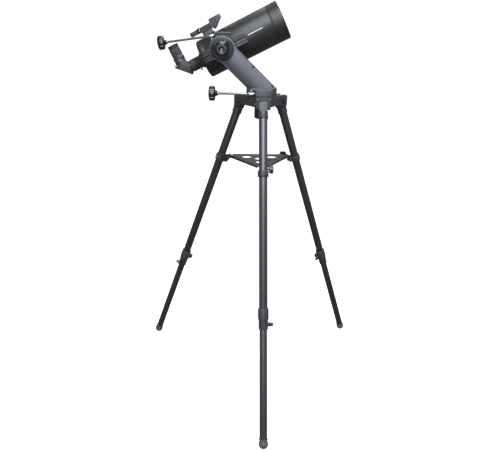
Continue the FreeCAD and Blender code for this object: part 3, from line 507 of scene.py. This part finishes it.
def floor():
    """Round pale floor with a low rim far away on every side."""
    pts = [(0, 0)]
    for r in (0.5, 1, 2, 3.5, 6.0):
        pts.append((r, 0))
    for i in range(1, 9):
        a = math.radians(90 * i / 8)
        pts.append((6.0 + 2.0 * math.sin(a), 2.0 * (1 - math.cos(a))))
    pts.append((8.0, 2.6))
    verts, faces, rings = [], [], []
    segs = 96
    for r, z in pts:
        if r == 0:
            rings.append([0])
            verts.append((0, 0, 0))
            continue
        rings.append([len(verts) + k for k in range(segs)])
        verts += [(r * math.cos(2 * math.pi * k / segs), r * math.sin(2 * math.pi * k / segs), z)
                  for k in range(segs)]
    for a, b in zip(rings, rings[1:]):
        for k in range(segs):
            j = (k + 1) % segs
            faces.append((a[0], b[k], b[j]) if len(a) == 1 else (a[k], b[k], b[j], a[j]))
    mesh = bpy.data.meshes.new("floor")
    mesh.from_pydata(verts, [], faces)
    mesh.shade_smooth()
    obj = bpy.data.objects.new("floor", mesh)
    scene.collection.objects.link(obj)
    mat = bpy.data.materials.new("floor_pale")
    mat.use_nodes = True
    b = mat.node_tree.nodes["Principled BSDF"]
    b.inputs["Base Color"].default_value = (0.45, 0.45, 0.45, 1)
    b.inputs["Roughness"].default_value = 0.9
    b.inputs["Specular IOR Level"].default_value = 0.0
    b.inputs["Emission Color"].default_value = (1, 1, 1, 1)
    b.inputs["Emission Strength"].default_value = 1.0
    mesh.materials.append(mat)
    obj.visible_glossy = False
    obj.visible_diffuse = False
    return obj


floor()


def area(name, loc, look, size, radiance, colour=(1, 1, 1), size_y=None):
    data = bpy.data.lights.new(name, "AREA")
    data.shape = "RECTANGLE"
    data.size = size
    data.size_y = size_y or size
    data.energy = math.pi * data.size * data.size_y * radiance
    data.color = colour
    obj = bpy.data.objects.new(name, data)
    obj.location = loc
    direction = Vector(look) - Vector(loc)
    obj.rotation_euler = direction.to_track_quat("-Z", "Y").to_euler()
    scene.collection.objects.link(obj)
    return obj


area("key_overhead", (0.1, -1.7, 3.2), (0, 0.0, 1.0), 2.6, 7.5, (0.96, 0.98, 1.0), 2.4)
area("front_strip", (-0.35, -3.9, 1.9), (0, 0, 0.8), 0.8, 6.0, (0.97, 0.985, 1.0), 3.0)
area("back_rim", (-1.8, 2.6, 2.8), (0, 0, 0.9), 1.2, 3.0)
area("top_back", (0.6, 1.7, 3.3), (0, 0, 1.0), 2.0, 6.0, (0.95, 0.975, 1.0), 1.6)
area("side_right", (3.4, -0.2, 2.2), (0, 0, 0.9), 0.7, 1.3, (1, 1, 1), 1.8)

world = bpy.data.worlds.new("studio")
scene.world = world
world.use_nodes = True
wt = world.node_tree
bg = wt.nodes["Background"]
bg.inputs["Color"].default_value = (0.96, 0.98, 1.0, 1)
bg.inputs["Strength"].default_value = 0.22

scene.view_settings.view_transform = "Standard"
scene.view_settings.look = "None"
scene.view_settings.exposure = 0.0

# -------------------------------------------------------------- camera
cam_data = bpy.data.cameras.new("camera")
cam_data.sensor_width = 36.0
cam_data.lens = 37.064
cam_data.clip_start = 0.01
cam_data.clip_end = 100.0
cam = bpy.data.objects.new("camera", cam_data)
scene.collection.objects.link(cam)
pitch, roll = math.radians(20.68), math.radians(1.32)
right = Vector((1, 0, 0))
down = Vector((0, -math.sin(pitch), -math.cos(pitch)))
ahead = Vector((0, math.cos(pitch), -math.sin(pitch)))
r2 = math.cos(roll) * right - math.sin(roll) * down
d2 = math.sin(roll) * right + math.cos(roll) * down
m = Matrix((r2, -d2, -ahead)).transposed().to_4x4()
m.translation = Vector((-0.02562, -1.6005, 0.9025 + 0.23487))
cam.matrix_world = m
scene.camera = cam


# ---------------------------------------------------------------- details


def pattern(name, places, loop, thick, material, body, angle=34.0):
    """Many small flat-sided bits in one mesh: loop is an (x, y) outline, each place a frame."""
    verts, faces = [], []
    n = len(loop)
    for m in places:
        base = len(verts)
        verts += [tuple(m @ (Vector((x, y, 0)) * MM)) for x, y in loop]
        verts += [tuple(m @ (Vector((x, y, thick)) * MM)) for x, y in loop]
        faces.append(tuple(base + i for i in range(n - 1, -1, -1)))
        faces.append(tuple(base + n + i for i in range(n)))
        for i in range(n):
            j = (i + 1) % n
            faces.append((base + i, base + j, base + n + j, base + n + i))
    verts = [(v[0] / MM, v[1] / MM, v[2] / MM) for v in verts]
    return finish_mesh(name, verts, faces, material, body, Matrix.Identity(4), angle=angle)


def bar(sx, sy):
    return [(-sx / 2, -sy / 2), (sx / 2, -sy / 2), (sx / 2, sy / 2), (-sx / 2, sy / 2)]


TO_CAMERA = rot("X", 90)          # local +Z becomes -Y

# altitude hub: engraved scale, knob centre, washer and rim bead
pattern("altitude_scale", [HUB_Y @ rot("Z", a) @ at(31.2 if a % 30 else 30.6, 0, -39.75, rot("Y", 11.5))
                           for a in range(0, 360, 10)], bar(1.9, 0.42), 0.22, "engrave", "telescope")
pattern("altitude_scale_fine", [HUB_Y @ rot("Z", a + 5) @ at(31.7, 0, -39.62, rot("Y", 11.5))
                                for a in range(0, 360, 10)], bar(1.1, 0.3), 0.2, "engrave", "telescope")
KNOB = at(-118, 0, 1086, TO_CAMERA)
lathe("clutch_cap", [(9.7, 56.6), (9.7, 57.6), (8.2, 58.1), (4.2, 57.5), (0, 57.3)], "knob", "clutch", KNOB,
      radius=0.5, segs=64)
lathe("clutch_washer", [(10.4, 40.25), (16.4, 40.25), (16.4, 41.2), (10.4, 41.2)], "darksteel", "clutch", KNOB,
      radius=0.2, segs=64)
lathe("hub_rim_bead", [(33.9, 33.9), (34.35, 34.3), (34.35, 35.3), (33.9, 35.7)], "hub", "telescope", KNOB,
      radius=0.2, segs=96)

# altitude worm block: cover, screws and bearing nut
slab("altitude_cover", bar(39, 33), 1.3, "block", "head", at(-117.5, -5.0, 1131.5), bevel=0.5, corner=3.0)
for i, (x, y) in enumerate(((-133, -17), (-102, -17), (-133, 7), (-102, 7))):
    socket_screw("cover_screw_%d" % i, 2.4, 1.5, "head", at(x, y, 1132.8))
cross_screw("block_face_screw", 2.7, 1.2, "head", at(-112.0, -24.0, 1121.5, TO_CAMERA), "darksteel")
cross_screw("block_face_screw_b", 1.8, 0.9, "head", at(-128.0, -24.0, 1126.0, TO_CAMERA), "darksteel")
lathe("altitude_nut", [(3.2, 13.8), (7.4, 13.8), (7.4, 16.6), (6.6, 17.3), (3.2, 17.3)], "darksteel", "head",
      ALT_WORM, radius=0.3, segs=6 * 8, wave=lambda th, r, z: 1.0 if r < 6 else
      math.cos(math.pi / 6) / math.cos((th + math.pi / 6) % (math.pi / 3) - math.pi / 6))

# thumb screws on both couplings, rings on the rods
for label, frame_m, z, side in (("azimuth", AZ_ROD, 31.5, 1), ("altitude", ALT_WORM, 27.5, -1)):
    body = label + "_drive"
    screw_m = frame_m @ at(0, 0, z, rot("Y", 90 * side))
    lathe(label + "_thumb_screw", [(2.7, 5.0), (4.6, 5.4), (4.9, 6.2), (4.9, 10.2), (4.2, 11.2), (1.6, 11.5),
                                   (0, 11.3)], "steel", body, screw_m, radius=0.4, segs=72,
          wave=flute(18, 0.06, z_from=5.3, z_to=11.0, r_from=3.9))
    start = 19.5 if side == 1 else 17.6
    for k, z0 in enumerate((start + 1.6, start + 19.0)):
        lathe("%s_sleeve_ring_%d" % (label, k), [(5.3, z0), (5.85, z0 + 0.3), (5.85, z0 + 1.7), (5.3, z0 + 2.0)],
              "darksteel", body, frame_m, radius=0.2, segs=48)
    kz = 130.0 if side == 1 else 160.0
    kr = 21.5 if side == 1 else 20.0
    lathe(label + "_knob_cap", [(kr - 6.0, kz + 25.2), (kr - 6.4, kz + 26.0), (kr - 8.0, kz + 26.4), (0, kz + 26.7)],
          "knob", body, frame_m, radius=0.5, segs=64)
    lathe(label + "_knob_ferrule", [(3.4, kz - 2.4), (5.2, kz - 2.4), (5.6, kz - 1.6), (5.6, kz + 0.4), (3.4, kz + 0.4)],
          "steel", body, frame_m, radius=0.3, segs=48)

# azimuth head: scale ring, block screws and bearing boss
pattern("azimuth_scale", [at(0, 0, 957.6, rot("Z", a)) @ at(46.02, 0, 0, rot("Y", 90)) for a in range(0, 245, 8)],
        bar(3.0, 0.42), 0.12, "engrave", "head")
for i, (x, z) in enumerate(((-12.5, 971.2), (21.5, 971.2), (-12.5, 959.4), (21.5, 959.4))):
    socket_screw("block_screw_%d" % i, 1.7, 0.8, "head", at(x, -55.8, z, TO_CAMERA))
lathe("azimuth_nut", [(3.2, 13.9), (7.6, 13.9), (7.6, 18.0), (6.8, 18.8), (3.2, 18.8)], "darksteel", "head",
      at(0, -42, 962, rot("Y", -90)) @ at(0, 0, 0), radius=0.3, segs=48,
      wave=lambda th, r, z: 1.0 if r < 6 else
      math.cos(math.pi / 6) / math.cos((th + math.pi / 6) % (math.pi / 3) - math.pi / 6))
lathe("azimuth_bearing_cap", [(0, 21.8), (5.2, 21.8), (6.0, 22.4), (6.0, 23.4), (4.8, 24.0), (0, 24.0)], "darksteel",
      "head", at(0, -42, 962, rot("Y", 90)) @ at(0, 0, 2.6), radius=0.3, segs=48)

# optical tube: seams, stripe, corrector coating and screws
lathe("front_seam", [(58.3, 161.6), (58.78, 161.7), (58.78, 162.3), (58.3, 162.4)], "seam", "telescope", OTA,
      radius=0.1, segs=160)
lathe("rear_seam", [(58.2, -55.35), (58.62, -55.25), (58.62, -54.75), (58.2, -54.65)], "seam", "telescope", OTA,
      radius=0.1, segs=160)
lathe("lens_retainer", [(50.4, 184.2), (53.9, 184.2), (53.9, 186.6), (52.4, 187.4), (50.4, 185.0)], "flat",
      "telescope", OTA, radius=0.3, segs=128, closed=True)
lathe("secondary_spot", [(0, 165.6), (14.6, 165.9), (14.6, 166.2), (0, 165.9)], "mirror", "telescope", OTA,
      radius=0.05, segs=64)
lathe("secondary_baffle", [(15.2, 154.0), (16.2, 154.0), (16.2, 166.3), (14.8, 166.3), (14.8, 165.0), (15.2, 164.5)],
      "flat", "telescope", OTA, radius=0.1, segs=64, closed=True)


def stripe(name, s0, s1, around, width, material):
    """Thin printed stripe lying on the tube, facing the arm's side."""
    verts, faces = [], []
    steps, rows = 24, 4
    r = 58.62
    for i in range(steps + 1):
        s = s0 + (s1 - s0) * i / steps
        end = min(i, steps - i) / 1.5
        w = width * min(1.0, 0.35 + 0.65 * end)
        for k in range(rows + 1):
            a = math.radians(around) + (k / rows - 0.5) * w / r
            verts.append((-r * math.sin(a), -r * math.cos(a), s))
    for i in range(steps):
        for k in range(rows):
            q = i * (rows + 1) + k
            faces.append((q, q + 1, q + rows + 2, q + rows + 1))
    return finish_mesh(name, verts, faces, material, "telescope", OTA)


stripe("tube_stripe", 82, 132, 6.0, 2.3, "mark")

for i, s in enumerate((-55.0, 3.0, 60.0)):
    socket_screw("rail_screw_%d" % i, 2.6, 0.9, "telescope", OTA @ at(-14.2, -67.6, s, TO_CAMERA))
    socket_screw("rail_screw_low_%d" % i, 2.6, 0.9, "telescope", OTA @ at(7.6, -67.6, s, TO_CAMERA))
pattern("rail_ribs", [OTA @ at(x, -67.5, s, TO_CAMERA) for x in (-9.0, -19.2, 1.0, 8.4)
                      for s in (-34.0, 31.0)], bar(2.2, 44.0), 0.8, "dovetail", "telescope")
lathe("focus_grip", [(8.9, -89.6), (9.6, -89.2), (9.6, -78.2), (8.9, -77.6)], "knob", "focus", OTA @ at(0, 36, 0),
      radius=0.3, segs=96, wave=flute(24, 0.05))
lathe("visual_back_knurl", [(22.3, -82.2), (23.1, -81.8), (23.1, -77.0), (22.3, -76.6)], "hub", "telescope", OTA,
      radius=0.2, segs=192, wave=flute(64, 0.02))


def thumb(name, body, matrix, reach, rad=3.6, material="chrome"):
    """Small knurled clamp screw standing out along local +Z."""
    lathe(name, [(1.4, -0.6), (1.4, reach), (rad - 0.4, reach), (rad, reach + 0.4), (rad, reach + 4.4),
                 (rad - 0.6, reach + 5.2), (0, reach + 5.4)], material, body, matrix, radius=0.3, segs=72,
          wave=flute(16, 0.06, z_from=reach + 0.2, z_to=reach + 4.8, r_from=rad - 0.5))


thumb("visual_back_screw", "telescope", OTA @ at(0, 0, -92.5, rot("Z", -28)) @ at(19.3, 0, 0, rot("Y", 90)), 2.0)
thumb("visual_back_screw_b", "telescope", OTA @ at(0, 0, -92.5, rot("Z", 92)) @ at(19.3, 0, 0, rot("Y", 90)), 2.0)
thumb("eyepiece_screw", "diagonal", EYE @ at(0, 0, 26.0, rot("Z", 205)) @ at(17.3, 0, 0, rot("Y", 90)), 1.6)
thumb("eyepiece_screw_b", "diagonal", EYE @ at(0, 0, 26.0, rot("Z", 85)) @ at(17.3, 0, 0, rot("Y", 90)), 1.6)

# star diagonal: cover screws and steps; eyepiece: ribs, band and cup
PLATE = OTA @ at(1.2, 0, -144.3 - 1.2, rot("Y", 45)) @ at(2.2, 0, 0, rot("Y", 90))
for i, (u, w) in enumerate(((-25.5, -15), (25.5, -15), (-25.5, 15), (25.5, 15))):
    cross_screw("diagonal_screw_%d" % i, 2.1, 1.1, "diagonal", PLATE @ at(u, w, -0.1), "chrome")
lathe("diagonal_ring", [(18.5, -117.4), (19.1, -117.0), (19.1, -104.6), (18.5, -104.0)], "matte", "diagonal", OTA,
      radius=0.3, segs=192, wave=flute(60, 0.018))
lathe("holder_band", [(17.3, 31.2), (17.95, 31.5), (17.95, 32.8), (17.3, 33.0)], "chrome", "diagonal", EYE,
      radius=0.2, segs=96)
lathe("eyepiece_grip", [(16.0, 47.0), (16.9, 47.6), (16.9, 69.4), (16.0, 70.0)], "eyebody", "eyepiece", EYE,
      radius=0.3, segs=144, wave=flute(36, 0.035))
lathe("eyepiece_band", [(16.0, 71.6), (16.5, 71.8), (16.5, 73.4), (16.0, 73.6)], "hub", "eyepiece", EYE,
      radius=0.15, segs=96)
lathe("eye_cup", [(13.8, 79.0), (14.2, 81.2), (15.4, 81.9), (16.6, 81.2), (16.8, 77.2), (16.1, 76.2)], "eyecup",
      "eyepiece", EYE, radius=0.4, segs=96)
lathe("collar_knurl", [(18.1, 35.0), (18.6, 35.4), (18.6, 41.2), (18.1, 41.6)], "eyebody", "eyepiece", EYE,
      radius=0.2, segs=192, wave=flute(56, 0.02))

# red dot finder: screws, window, lamp, rail slots and clamp
FIND = OTA
socket_screw("finder_pivot", 3.8, 1.5, "telescope", FIND @ at(-88.5, -11.0, 16.0, TO_CAMERA), "knob")
pattern("finder_front_sides", [FIND @ at(-94.0, y, 27.6) for y in (-9.9, 9.9)], bar(13.6, 2.6), 2.6, "knob", "telescope")
pattern("finder_front_rails", [FIND @ at(x, 0, 27.6) for x in (-88.0, -99.6)], bar(1.6, 22.4), 2.6, "knob", "telescope")
pattern("finder_side_panel", [FIND @ at(-93.0, -11.0, 9.0, TO_CAMERA)], bar(9.0, 26.0), 0.7, "finder", "telescope")
# side steps drawn as near-black bars: painted shade under the steps
pattern("finder_side_steps", [FIND @ at(-95.5, -11.6, s, TO_CAMERA) for s in (-1.5, 3.0, 24.0)], bar(3.2, 1.3), 0.4,
        "seam", "telescope")
socket_screw("finder_pivot_b", 2.2, 0.9, "telescope", FIND @ at(-79.5, -11.0, 1.0, TO_CAMERA))
lathe("finder_boss", [(4.4, -0.3), (5.4, 0.1), (5.4, 0.9), (4.4, 1.2)], "finder", "telescope",
      FIND @ at(-88.5, -11.0, 16.0, TO_CAMERA), radius=0.2, segs=48)
slab("finder_window", bar(12.2, 15.4), 1.1, "glass", "telescope", FIND @ at(-93.0, 0, 25.2), bevel=0.2)
pattern("finder_window_frame", [FIND @ at(-86.3, 0, 24.0), FIND @ at(-99.2, 0, 24.0)], bar(1.0, 17.0), 3.6, "finder",
        "telescope")
lathe("finder_lamp", [(2.6, 0), (2.6, 1.8), (1.8, 2.8), (0, 3.1)], "lamp", "telescope", FIND @ at(-90.5, 0, -6.5),
      radius=0.3, segs=32)
# rail slots drawn as near-black bars: painted shade in the slots
pattern("finder_slots", [FIND @ at(-79.8, -10.02, s, TO_CAMERA) for s in (-71.0, -65.0, -37.0, -31.0, -25.0, -19.0)],
        bar(5.2, 1.5), 0.35, "seam", "telescope")
pattern("finder_ribs", [FIND @ at(-74.8, -10.0, -44.0, TO_CAMERA), FIND @ at(-86.4, -10.0, -44.0, TO_CAMERA)],
        bar(1.0, 62.0), 0.6, "finder", "telescope")
lathe("finder_clamp", [(0, 0), (1.6, 0), (1.6, 2.6), (4.2, 2.6), (4.4, 3.2), (4.4, 6.2), (3.6, 7.0), (0, 7.2)],
      "knob", "telescope", FIND @ at(-64.6, -8.0, -33.0, TO_CAMERA), radius=0.3, segs=48, wave=flute(12, 0.06, r_from=4.1))
lathe("finder_end_dial", [(0, -0.4), (6.6, -0.4), (7.0, 0.2), (7.0, 2.6), (6.0, 3.2), (0, 3.2)], "knob", "telescope",
      FIND @ at(-81.5, 0, -76.4, rot("X", 180)), radius=0.3, segs=96, wave=flute(24, 0.05, r_from=6.0))
lathe("finder_wheel_rim", [(7.2, -13.7), (7.75, -13.4), (7.75, -11.2), (7.2, -10.9)], "knob", "finder_wheel",
      OTA @ at(-83.0, 0, -48.3, ALONG_Y), radius=0.2, segs=120, wave=flute(30, 0.05))

# tripod: bolt faces, seams, collar screws, lock ribs and foot rings
for leg in LEG_AZ:
    F = leg_frame(leg)
    for k, (side, turn_to) in enumerate(((23.4, -90), (-22.8, 90))):
        hexm = radial(leg, 70.07, 935.0) @ at(0, side, 0, rot("X", turn_to))
        socket_screw("hinge_face_%s_%d" % (leg, k), 4.3, 1.2, "tripod", hexm, "darksteel")
    # the front leg's bead takes the lighter casting copy: painted highlight
    lathe("cap_bead_" + leg, [(14.4, -38.6), (14.95, -38.3), (14.95, -36.6), (14.4, -36.3)], "front_casting_painted_lit" if leg == "front"
          else "casting", "leg_" + leg, F, radius=0.2, segs=64)
    cross_screw("cap_screw_" + leg, 2.0, 0.9, "leg_" + leg, F @ at(14.3, 0, -30.5, ALONG_X), "darksteel")
    lathe("tray_ring_bead_" + leg, [(15.6, -208.2), (16.2, -207.8), (16.2, -194.2), (15.6, -193.8)], "casting",
          "leg_" + leg, F, radius=0.3, segs=64)
    cross_screw("tray_ring_screw_" + leg, 2.6, 1.3, "leg_" + leg, F @ at(0, 0, -201.0, rot("Z", 62)) @
                at(16.0, 0, 0, ALONG_X), "chrome")
    for k, z in enumerate((-603.0, -611.0, -619.0)):
        lathe("lock_rib_%s_%d" % (leg, k), [(15.5, z - 1.4), (16.1, z - 0.9), (16.1, z + 0.9), (15.5, z + 1.4)],
              "casting", "leg_" + leg, F, radius=0.3, segs=64)
    lathe("foot_ring_" + leg, [(12.2, -975.4), (12.9, -975.0), (12.9, -973.4), (12.2, -973.0)], "rubber",
          "lower_leg_" + leg, F, radius=0.2, segs=64)
    pattern("leg_scale_" + leg, [F @ at(0, 0, -700.0 - 25.0 * k, rot("Z", 0)) @ at(11.16, 0, 0, rot("Y", 90))
                                 for k in range(9)], bar(0.5, 2.0), 0.09, "engrave", "lower_leg_" + leg)
    knob_m = F @ at(0, 0, -640.0, ALONG_Y)
    lathe("lock_nut_" + leg, [(0, 26.4), (4.6, 26.4), (5.0, 27.0), (5.0, 28.0), (4.2, 28.8), (0, 28.9)], "knob",
          "lock_knob_" + leg, knob_m, radius=0.4, segs=48)
    tk = radial(leg, 111.2, 753.0) @ at(0, 0, 0, ALONG_Y)
    lathe("tray_knob_face_" + leg, [(0, 31.6), (5.4, 31.6), (6.0, 32.2), (5.4, 33.2), (0, 33.4)], "darksteel", "tray",
          tk, radius=0.3, segs=48)

lathe("head_knob_face", [(0, 885.8), (9.0, 885.4), (12.0, 884.9), (13.4, 885.1), (14.4, 885.9)], "knob", "head_knob",
      at(0, 0, 0), radius=0.5, segs=64)
lathe("crown_bead", [(23.8, 925.9), (24.6, 926.0), (24.6, 927.3), (23.8, 927.4)], "casting", "tripod", at(0, 0, 0),
      radius=0.2, segs=96)
slab("level_seat", [(9 * math.cos(2 * math.pi * k / 32), 9 * math.sin(2 * math.pi * k / 32)) for k in range(32)], 1.2,
     "darksteel", "tripod", radial("left", 50.0, 955.0) @ at(0, 0, 0), bevel=0.4)
lathe("level_glass", [(7.4, 1.1), (7.4, 2.0), (6.4, 2.6), (0, 2.9)], "glass", "tripod", radial("left", 50.0, 955.0),
      radius=0.3, segs=48)
